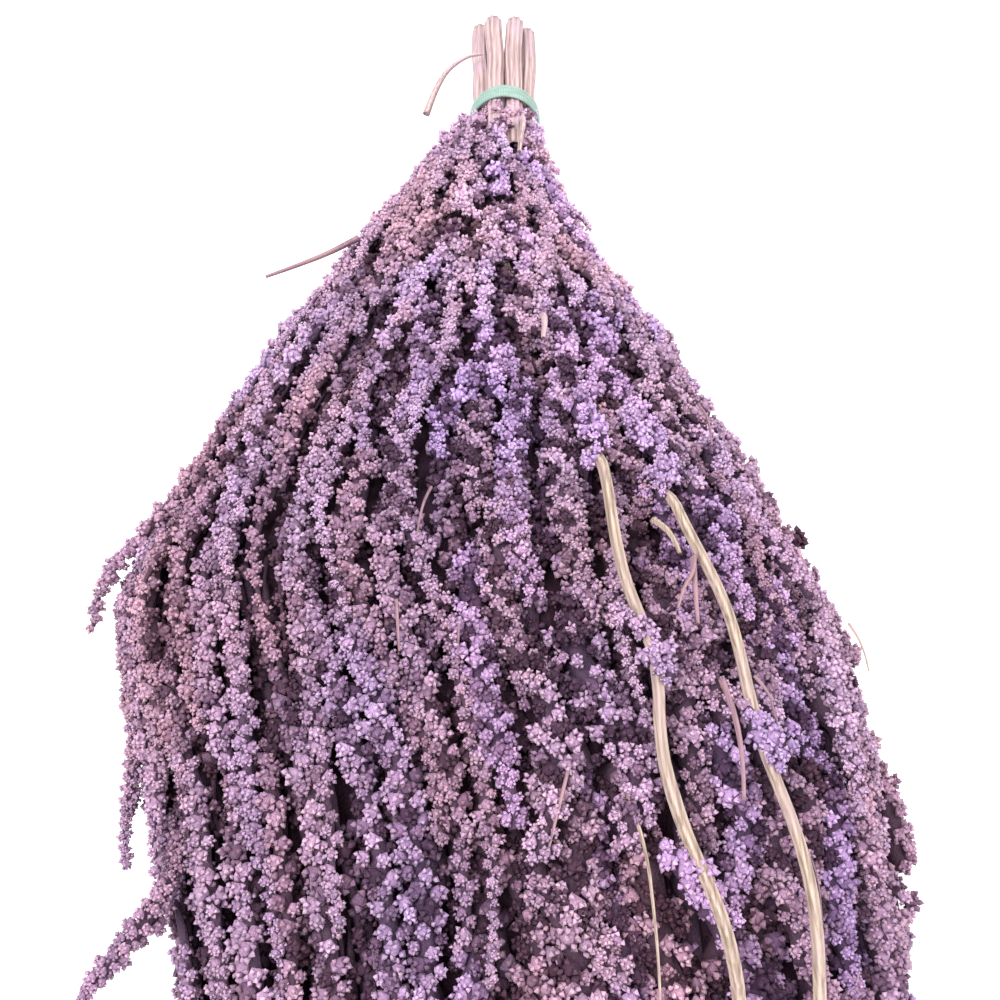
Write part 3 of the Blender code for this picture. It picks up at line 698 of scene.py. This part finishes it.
for shade in (
    # Each cluster's own tint, each rope's, the drifts of dye over many ropes, and the crumb on the scales.
    dyed.ramp(dyed.attribute("cluster_tint"), (0.0, (0.80, 0.78, 0.82)), (1.0, (1.16, 1.12, 1.14))),
    dyed.ramp(dyed.attribute("rope_tint"), (0.0, (0.90, 0.82, 0.78)), (0.5, (0.98, 0.98, 0.98)),
              (1.0, (1.00, 0.96, 1.16))),
    dyed.ramp(dyed.noise(14.0, 3.0), (0.35, (0.93, 0.91, 1.05)), (0.65, (1.06, 0.96, 0.96))),
    dyed.ramp(crumb, (0.34, (0.78, 0.74, 0.78)), (0.66, (1.10, 1.10, 1.10))),
    # Painted shade: darker the deeper a cluster, rope or core lies, lighter at the surface, and paler from
    # the tips towards the tie.
    dyed.ramp(dyed.attribute("depth"), (0.0, (1.12, 1.12, 1.12)), (0.30, (1.00, 0.98, 1.00)),
              (0.55, (0.84, 0.80, 0.83)), (0.80, (0.56, 0.50, 0.54)), (1.0, (0.17, 0.13, 0.155))),
    dyed.ramp(dyed.math("ADD", along, 0.1), (0.0, WHITE), (0.44, (1.52, 1.58, 1.48))),
):
    toned = dyed.blend(1.0, toned, shade, "MULTIPLY")
dyed.colour(toned)

# Ring heads. Each stalk's flowers are a sheaf of drooping tassels that start deep in the bunch, come up
# between the older ones and end in a tip on its surface, slim on the left and thick and lumpy on the right.
HEAD_START, HEAD_END = 0.004, 0.530
LONGEST = 0.600
UNDER_LAYER, UNDER_ROOM = 0.0060, 0.0056
# Parts of the girth, as start, soft edge, end, soft edge: the slim tassels' side, the side that the bunch
# lies on, and the right edge, where the tassels underneath catch the light too.
SLIM_PART, UNDERSIDE = (0.58, 0.08, 0.90, 0.12), (0.30, 0.05, 0.65, 0.05)
RIGHT_FLANK = (0.15, 0.05, 0.36, 0.05)
# Radii and lengths, from least to most: towards the tie, towards the tips, and of the slim tassels.
FAR_RADII, NEAR_RADII, SLIM_RADII = (0.0056, 0.0068), (0.0066, 0.0088), (0.0048, 0.0058)
EAR_RADII = (0.0036, 0.0042)
FAR_LENGTHS, NEAR_LENGTHS, SLIM_LENGTHS = (0.030, 0.060), (0.055, 0.120), (0.11, 0.22)
# Of the thick tassels and of the slim ones.
LEAN, CLOSENESS, EAR_CHANCE = (0.35, 0.85), (1.0, 0.84), (0.07, 0.20)
DRIFT, SWAY, MOST_PROUD, LEAST_PROUD = (0.020, 0.007), (0.0042, 0.0022), (0.0055, 0.003), -0.001
WARMTH = (1.0, 0.6)
ROOTED_RUN, ROOT_DEPTH, ROOT_SHARE, SURFACING = 0.04, 0.0150, 0.45, 0.28
# Of the balls and of the plain clusters.
BALL, PLAIN = 0, 1
CLUSTER_SIZE, CLUSTER_SPACING, CLUSTER_SINK = (0.0032, 0.0056), (1.48, 1.56), (0.80, 0.88)
LEAST_ROPE, LEAST_SPINE = 0.0008, 0.0018
FAR_SIZE, NEAR_SIZE, EAR_SIZE, BURIED_SIZE = 1.42, 0.97, 0.80, 0.66
EAR_LEAN, FREE_FLARE, FLANK_LIGHT = 1.3, 0.0045, 0.7
DEEP, DEEP_SEEN, SHALLOW_SEEN, ALL_SEEN, SIGHT = 0.0130, 0.48, 0.02, -2.0, 0.02
# The rule that lays them: cells of the bunch's surface, how full they may be, and how often one is tried.
CELL, CELLS_ROUND = 0.004, 160
CROWDING, SPREAD, TRIES, GIVEN_UP = 0.44, 0.90, 9000, 4
LINE_STEP = 0.0045


def within(part, q):
    """1 inside a part of the girth, 0 outside it and something between at its soft edges."""
    start, rise, end, fall = part
    q = q % 1.0
    return float(smoothstep((q - start) / rise) * (1 - smoothstep((q - end) / fall)))


def ranged(far, near, slim, nearness, slimmed):
    """The least and the most of a size, between those by the tie, by the tips and of the slim tassels."""
    return [mix(mix(far[k], near[k], nearness), slim[k], slimmed) for k in range(2)]


class Tassel:
    """A tassel's run along the bunch, its thickness and its small wanderings, drawn once at random."""

    def __init__(self, rng, start, length, share, level=0.0, flare=0.0, radius=None):
        self.start, self.length, self.share, self.level, self.flare = start, length, share, level, flare
        slim = within(SLIM_PART, share)
        near = smoothstep((start + length / 2 - 0.12) / 0.25)
        self.radius = rng.uniform(*ranged(FAR_RADII, NEAR_RADII, SLIM_RADII, near, slim))
        self.kind = PLAIN if within(UNDERSIDE, share) > 0.5 else BALL
        self.lean = mix(*LEAN, slim)
        self.closeness = mix(*CLOSENESS, slim)
        self.size = mix(FAR_SIZE, NEAR_SIZE, near)
        self.ear = rng.uniform() < mix(*EAR_CHANCE, slim) and level == 0
        if self.ear:
            self.radius = rng.uniform(*EAR_RADII)
            self.lean = EAR_LEAN
            self.size *= EAR_SIZE
        self.radius = radius or self.radius
        self.phase = rng.uniform(0, 2 * math.pi, 4)
        self.waves = rng.uniform(0.6, 1.6)
        self.drift = rng.normal(0.0, mix(*DRIFT, slim))
        self.sway = mix(*SWAY, slim)
        self.proud = rng.uniform(LEAST_PROUD, mix(*MOST_PROUD, slim)) if level == 0 else 0.0

    def thickness(self, t):
        swell = 1 + 0.09 * math.sin(self.phase[2] + 210.0 * self.length * t)
        swell += 0.11 * math.sin(self.phase[3] + 400.0 * self.length * t)
        taper = (0.50 if self.ear else 0.30) * smoothstep((t - 0.62) / 0.38)
        return self.radius * swell * (0.66 + 0.34 * smoothstep(t / 0.22) - taper)

    def share_at(self, t):
        return self.share + self.drift * (t - 0.5)

    def route(self, steps):
        points, outward, thick, sunk = [], [], [], []
        rooted = smoothstep((self.start - HEAD_START) / ROOTED_RUN)
        for t in np.linspace(0.0, 1.0, steps):
            s = self.start + self.length * t
            edge, normal = skin(s, self.share_at(t))
            thickness = self.thickness(t)
            resting = thickness * 1.02 + 0.0014 * (1 + math.sin(self.phase[1] + 6.0 * t)) + self.level
            deep = mix(resting, min(ROOT_DEPTH, ROOT_SHARE * np.linalg.norm(edge - centre(s))), rooted)
            depth = mix(deep, resting, smoothstep(t / SURFACING)) if self.level >= 0 else resting
            depth -= self.proud * smoothstep((t - 0.55) / 0.45) + self.flare * smoothstep((t - 0.30) / 0.70)
            wave = self.sway * math.sin(self.phase[0] + self.waves * 2 * math.pi * t)
            flat = edge - normal * depth + wave * np.array([normal[1], -normal[0]])
            flat[1] = max(flat[1], thickness + UNDER_ROOM)
            points.append(place(s, flat))
            outward.append((normal[0], 0.0, normal[1]))
            thick.append(thickness)
            sunk.append(depth)
        return np.array(points), np.array(outward), np.array(thick), np.array(sunk)

    def cells(self):
        """The cells of the bunch's surface that the tassel's visible part covers."""
        rows, columns = [], []
        first, last = int((self.start + 0.2 * self.length) / CELL), int((self.start + self.length) / CELL)
        for row in range(first, last + 1):
            s = row * CELL
            t = np.clip((s - self.start) / self.length, 0.0, 1.0)
            half = SPREAD * self.closeness * self.thickness(t) / np.interp(s, STATIONS, GIRTHS) * CELLS_ROUND
            middle = self.share_at(t) * CELLS_ROUND
            across_cells = np.arange(round(middle - half), round(middle + half) + 1) % CELLS_ROUND
            rows += [row] * len(across_cells)
            columns += list(across_cells)
        return np.array(rows), np.array(columns)


def lay_tassels(seed, level, patience):
    """Tassels laid by a seeded rule, each over a cell of the surface still bare, while they find room."""
    rng = np.random.default_rng(seed)
    taken = np.zeros((int(LONGEST / CELL) + 2, CELLS_ROUND))
    taken[:int(HEAD_START / CELL) + 1] = taken[int(LONGEST / CELL):] = 1
    given_up = np.zeros_like(taken)
    laid = []
    for _ in range(TRIES):
        bare = np.argwhere((taken == 0) & (given_up < GIVEN_UP))
        if len(bare) == 0:
            break
        row, column = bare[rng.integers(len(bare))]
        s, share = row * CELL, column / CELLS_ROUND
        slim = within(SLIM_PART, share)
        near = smoothstep((s - 0.02) / 0.15)
        length = rng.uniform(*ranged(FAR_LENGTHS, NEAR_LENGTHS, SLIM_LENGTHS, near, slim))
        start = max(s - length * rng.uniform(0.30, 0.95), HEAD_START)
        length = min(length, LONGEST - start)
        tassel = Tassel(rng, start, length, share, level)
        cells = tassel.cells()
        if taken[cells].mean() > CROWDING + patience * given_up[row, column]:
            given_up[row, column] += 1
            continue
        taken[cells] = 1
        laid.append(tassel)
    return laid


def head_of(tassel):
    """Which head a tassel belongs to, from the walls on either side of its middle."""
    s = tassel.start + tassel.length * 0.5
    share = tassel.share % 1.0
    for number in range(RING_HEADS):
        low, high = wall(number, s), wall(number + 1, s)
        if low <= share < high or low <= share + 1 < high:
            return number
    return 0


def tassel_lines(name, tassels):
    """The head's tassels as bare lines, with what the flowers need to know written on their points."""
    points, edges = [], []
    values = {label: [] for label in SPENT_VALUES[:-1] + ("rope_tint",)}
    outward = []
    for tassel in tassels:
        steps = max(6, int(tassel.length / LINE_STEP))
        route, normals, thick, sunk = tassel.route(steps)
        first = len(points)
        points += list(route)
        outward += list(normals)
        edges += [(first + k, first + k + 1) for k in range(steps - 1)]
        kind = tassel.kind
        warm = mix(*WARMTH, within(SLIM_PART, tassel.share))
        size = CLUSTER_SIZE[kind] * tassel.size
        spine = tassel.radius - CLUSTER_SINK[kind] * size
        spacing = size * CLUSTER_SPACING[kind]
        values["thickness"] += list(np.maximum(thick - CLUSTER_SINK[kind] * size, LEAST_ROPE))
        values["pitch"] += [spacing ** 2 / (2 * math.pi * max(spine, LEAST_SPINE))] * steps
        values["cluster"] += list(size * np.clip(thick / tassel.radius, 0.60, 1.05))
        values["kind"] += [float(kind)] * steps
        values["lean"] += [tassel.lean] * steps
        free = tassel.flare > FREE_FLARE
        hidden = np.where(sunk > DEEP, DEEP_SEEN, SHALLOW_SEEN)
        values["hidden"] += [ALL_SEEN] * steps if free else list(hidden)
        values["sight"] += [0.0 if free else SIGHT] * steps
        lit = 1 - FLANK_LIGHT * within(RIGHT_FLANK, tassel.share)
        values["sunk"] += list((sunk - tassel.radius * 0.4) * lit)
        values["rope_tint"] += [warm * (0.5 + 0.5 * math.sin(tassel.phase[0] * 7.0))] * steps
    made = plain_object(name, points, [], edges)
    for label, numbers in values.items():
        point_values(made.data, label, numbers)
    written = made.data.attributes.new("outward", "FLOAT_VECTOR", "POINT")
    written.data.foreach_set("vector", np.ravel(outward))
    return made


CORE_BELOW, CORE_SHARE, CORE_ROUGH, CORE_STEP, CORE_COLUMNS = 0.0150, 0.42, 0.0022, 0.0050, 20


def core_mesh(name, number):
    """A head's middle, rough with old flowers and painted near black as shade, which closes the view between
    its tassels.
    """
    rng = np.random.default_rng(80 + number)
    vertices, grain = [], []
    rows = np.arange(HEAD_START, HEAD_END + 0.03, CORE_STEP)
    for s in rows:
        middle = centre(s)
        closing = 1 - 0.6 * smoothstep((s - 0.46) / 0.10)
        for share in np.linspace(wall(number, s), wall(number + 1, s), CORE_COLUMNS):
            edge, normal = skin(s, share)
            depth = min(CORE_BELOW, CORE_SHARE * np.linalg.norm(edge - middle))
            depth += rng.uniform(-1, 1) * CORE_ROUGH
            vertices.append(place(s, mix(middle, edge - normal * depth, closing)))
            # Low values, dark: painted shade.
            grain.append(rng.uniform(0.0, 0.30))
        for share in (wall(number + 1, s), wall(number, s)):
            vertices.append(place(s, mix(middle, skin(s, share)[0], 0.1 * closing)))
            grain.append(0.0)
    size = CORE_COLUMNS + 2
    ends = [tuple(range(size)), tuple(reversed(range((len(rows) - 1) * size, len(rows) * size)))]
    made = plain_object(name, vertices, ends + side_faces(len(rows), size, flipped=True))
    point_values(made.data, "grain", grain)
    return made


# Free tips at the bunch's edges: start, length, share of the girth and how far the tip stands off.
FREE_TIPS = ((0.235, 0.120, 0.775, 0.011), (0.300, 0.130, 0.768, 0.007), (0.310, 0.124, 0.790, 0.005),
             (0.400, 0.084, 0.780, 0.034), (0.310, 0.112, 0.200, 0.005), (0.360, 0.098, 0.195, 0.005),
             (0.140, 0.070, 0.770, 0.004), (0.160, 0.080, 0.240, 0.002))
FREE_RADIUS, TUFT_RADIUS = 0.0044, 0.0060
# Short tufts that lie over the long stalks: the stalk's number, start, length and height over the rest.
CROSSINGS = ((0, 0.372, 0.020, 0.0090), (0, 0.438, 0.018, 0.0090), (1, 0.398, 0.016, 0.0090),
             (0, 0.262, 0.050, 0.0055), (1, 0.274, 0.050, 0.0055))
rng = np.random.default_rng(90)
extra = [Tassel(rng, start, length, share, flare=flare, radius=FREE_RADIUS)
         for start, length, share, flare in FREE_TIPS]
for which, start, length, height in CROSSINGS:
    share = long_stalk_share(start + length / 2, which)
    extra.append(Tassel(rng, start, length, share, level=-height, radius=TUFT_RADIUS))
surface_tassels = lay_tassels(91, 0.0, 0.04)
# An older layer shows between these on the top and the flanks, and is left out on the underside.
buried_tassels = [tassel for tassel in lay_tassels(92, UNDER_LAYER, 0.16) if tassel.kind == BALL]
for tassel in buried_tassels:
    tassel.kind = PLAIN
    tassel.size *= BURIED_SIZE
sheaves = {number: [] for number in range(RING_HEADS)}
for tassel in extra + surface_tassels + buried_tassels:
    sheaves[head_of(tassel)].append(tassel)

for number in range(RING_HEADS):
    node = f"head_{number + 1}"
    lines = tassel_lines(f"{node}_lines", sheaves[number])
    core = core_mesh(f"{node}_core", number)
    head = grow_piece(f"flowers_of_{node}", lines, core, 7 * number, dyed.material)
    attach(head, "root")
    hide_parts(node)

# Long heads. Each long stalk ends in a head of its own at the tip end. It grew on the stalk, and its tassels
# fan out from the stalk's end and droop over the others.
LONG_HEAD_EDGES = ((-0.045, 0.095), (0.085, 0.225))
LONG_HEAD_TASSELS = 11
LONG_HEAD_STARTS = (0.484, 0.490)
LONG_HEAD_LEVEL = -0.0120
LONG_HEAD_LENGTHS, LONG_HEAD_RADII = (0.070, 0.110), (0.005, 0.007)
LONG_CORE_SLIMNESS, LONG_CORE_END = 0.5, 0.560
LONG_CORE_TAPER = np.array([0.5, 0.6, 0.8, 0.9] + list(np.linspace(1.0, 0.4, 12)))
for which in range(2):
    node = f"long_head_{which + 1}"
    rng = np.random.default_rng(100 + which)
    tassels = []
    for share in np.linspace(*LONG_HEAD_EDGES[which], LONG_HEAD_TASSELS):
        start = LONG_HEAD_STARTS[which] + rng.uniform(-0.004, 0.022)
        length = min(rng.uniform(*LONG_HEAD_LENGTHS), LONGEST - start)
        root = long_stalk_share(start, which)
        middle = (root + share) / 2
        radius = rng.uniform(*LONG_HEAD_RADII)
        tassel = Tassel(rng, start, length, middle, level=LONG_HEAD_LEVEL, radius=radius)
        tassel.drift = share - root
        tassels.append(tassel)
    places = np.linspace(LONG_STALK_END - 0.004, LONG_CORE_END, len(LONG_CORE_TAPER))
    spine = np.array([place(s, long_stalk_point(s, which)) for s in places])
    widths = LONG_CORE_SLIMNESS * LONG_CORE_R * LONG_CORE_TAPER
    core = ribbed_tube(f"{node}_core", spine, widths, LONG_STALK_RIBS, 0.10, (0.0, 0.0), rng)
    lines = tassel_lines(f"{node}_lines", tassels)
    head = grow_piece(f"flowers_of_{node}", lines, core, 60 + 7 * which, dyed.material)
    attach(head, "root")
    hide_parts(node)

for cluster in list(clusters.objects):
    bpy.data.objects.remove(cluster)
bpy.data.collections.remove(clusters)

# Bare twigs. Thin bare side shoots and broken bits of stalk that show between the tassels, and two loose
# ones, a curled strand beside the tie and a wisp that sticks out on the left.
dyed_twig = straw_finish("dyed_straw", (0.13, 0.065, 0.095), (0.29, 0.165, 0.22), (0.32, 0.21, 0.24),
                         (0.34, 0.20, 0.21))
TWIG_SOFTENING = np.linspace(-0.4, 0.4, 5)
TWIG_RINGS, TWIG_RIBS, TWIG_RIB_DEPTH = 5, 3, 0.10
# Radius, finish and route, by the way along the bunch, the share of the girth and the height over the skin.
TWIGS_ON_FLOWERS = (
    (0.0012, straw, ((0.330, 0.102, -0.004), (0.338, 0.106, 0.001), (0.347, 0.109, 0.000))),
    (0.0010, dyed_twig, ((0.348, 0.112, 0.004), (0.361, 0.108, 0.003), (0.373, 0.105, 0.001))),
    (0.0008, dyed_twig, ((0.348, 0.113, 0.004), (0.356, 0.108, 0.005), (0.361, 0.101, 0.004),
                         (0.368, 0.096, 0.001))),
    (0.0010, dyed_twig, ((0.388, 0.108, 0.002), (0.404, 0.108, 0.004), (0.427, 0.105, 0.001))),
    (0.0005, dyed_twig, ((0.388, 0.123, 0.005), (0.394, 0.128, 0.006), (0.398, 0.131, 0.003),
                         (0.404, 0.134, 0.001))),
    (0.0005, dyed_twig, ((0.432, 0.132, 0.003), (0.442, 0.139, 0.004), (0.453, 0.143, 0.001))),
    (0.0006, dyed_twig, ((0.322, -0.020, -0.002), (0.333, -0.024, 0.002), (0.345, -0.029, 0.000))),
    (0.0005, dyed_twig, ((0.370, -0.016, -0.003), (0.387, -0.023, 0.001))),
    (0.0006, dyed_twig, ((0.414, 0.022, -0.002), (0.428, 0.012, 0.002), (0.443, 0.001, 0.000))),
    (0.0006, straw, ((0.418, 0.046, -0.004), (0.437, 0.053, 0.000), (0.452, 0.053, 0.001),
                     (0.480, 0.053, 0.000))),
    (0.0016, butt_straw, ((0.220, 0.066, -0.006), (0.234, 0.062, 0.001), (0.245, 0.058, -0.001))),
    (0.0020, butt_straw, ((0.020, 0.100, -0.003), (0.036, 0.094, 0.001), (0.072, 0.080, -0.002))),
    (0.0006, dyed_twig, ((0.262, 0.178, 0.000), (0.276, 0.171, 0.003), (0.292, 0.163, 0.001))),
    (0.0005, straw, ((0.352, 0.220, 0.001), (0.360, 0.226, 0.003), (0.370, 0.228, 0.002))),
    (0.0006, dyed_twig, ((0.364, -0.046, -0.002), (0.374, -0.048, 0.001), (0.384, -0.051, 0.000))),
)
# The loose ones, by the way along the bunch, across it and up. A negative radius is thick at the far end.
LOOSE_TWIGS = (
    (-0.0022, butt_straw, ((-0.048, -0.012, 0.036), (-0.044, -0.022, 0.037), (-0.034, -0.034, 0.034),
                           (-0.020, -0.041, 0.028), (-0.004, -0.046, 0.022))),
    (0.0015, dyed_twig, ((0.148, -0.066, 0.056), (0.156, -0.080, 0.053), (0.161, -0.094, 0.050),
                         (0.166, -0.112, 0.046))),
)
twigs = {straw: [], butt_straw: [], dyed_twig: []}
for radius, finish, stops in TWIGS_ON_FLOWERS + LOOSE_TWIGS:
    rng = np.random.default_rng(len(twigs[finish]) + 120)
    marks = np.array(stops)
    loose = (radius, finish, stops) in LOOSE_TWIGS
    points = []
    for along in np.linspace(0.0, len(marks) - 1.0, TWIG_RINGS * len(marks)):
        around = along + TWIG_SOFTENING
        s, side, height = (np.interp(around, np.arange(len(marks)), column).mean() for column in marks.T)
        edge, normal = skin(s, side)
        points.append(place(s, (side, height) if loose else edge + normal * height))
    radii = abs(radius) * np.linspace(*(0.3, 1.0) if radius < 0 else (1.0, 0.5), len(points))
    twig = ribbed_tube("twig", np.array(points), radii, TWIG_RIBS, TWIG_RIB_DEPTH, (0.0, 0.0), rng)
    twigs[finish].append(twig)
for finish, made in twigs.items():
    with bpy.context.temp_override(active_object=made[0], selected_editable_objects=made):
        bpy.ops.object.join()
    made[0].name = finish.name + "_twigs"
    made[0].data.materials.append(finish)
    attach(made[0], "root")

# Floor, lights and camera. A pale, plain studio floor under wide soft lights, seen from beyond the tips and
# above, at the photograph's angle.
CAMERA_SPOT = (0.0034, -0.270, 0.3486)
CAMERA_DOWN = 52.7
FOCAL_PIXELS = 1000.0
FRAME_PIXELS = 1000.0
bpy.ops.mesh.primitive_plane_add(size=6.0, location=(0.0, 0.0, -0.0002))
floor = bpy.context.object
floor.name = "studio_floor"
paper = Shader("pale_paper", 0.9)
paper.colour(paper.ramp(paper.noise(3.0, 2.0), (0.3, (0.93, 0.93, 0.935)), (0.7, (0.95, 0.95, 0.95))))
floor.data.materials.append(paper.material)

for name, spot, aim, size, power in (
    ("key_light", (-0.9, -0.5, 1.5), (0.0, 0.0, 0.0), 1.2, 42.0),
    ("fill_light", (1.1, -0.7, 1.1), (0.0, 0.0, 0.0), 1.4, 22.0),
    ("back_light", (0.2, 1.3, 1.3), (0.0, 0.0, 0.0), 1.4, 18.0),
):
    lamp = bpy.data.lights.new(name, "AREA")
    lamp.size = size
    lamp.energy = power
    holder = bpy.data.objects.new(name, lamp)
    bpy.context.scene.collection.objects.link(holder)
    holder.location = spot
    away = np.array(spot) - np.array(aim)
    yaw = math.atan2(away[0], -away[1])
    pitch = math.atan2(math.hypot(away[0], away[1]), away[2])
    holder.rotation_euler = (pitch, 0.0, yaw)

world = bpy.data.worlds.new("studio")
world.use_nodes = True
world.node_tree.nodes["Background"].inputs["Color"].default_value = (1.0, 1.0, 1.0, 1.0)
world.node_tree.nodes["Background"].inputs["Strength"].default_value = 0.82
bpy.context.scene.world = world
bpy.context.scene.view_settings.view_transform = "Standard"

camera_data = bpy.data.cameras.new("photo_camera")
camera_data.sensor_width = 36.0
camera_data.lens = FOCAL_PIXELS / FRAME_PIXELS * camera_data.sensor_width
camera_data.clip_start = 0.01
camera = bpy.data.objects.new("photo_camera", camera_data)
camera.location = CAMERA_SPOT
camera.rotation_euler = (math.radians(90.0 - CAMERA_DOWN), 0.0, 0.0)
bpy.context.scene.collection.objects.link(camera)
bpy.context.scene.camera = camera
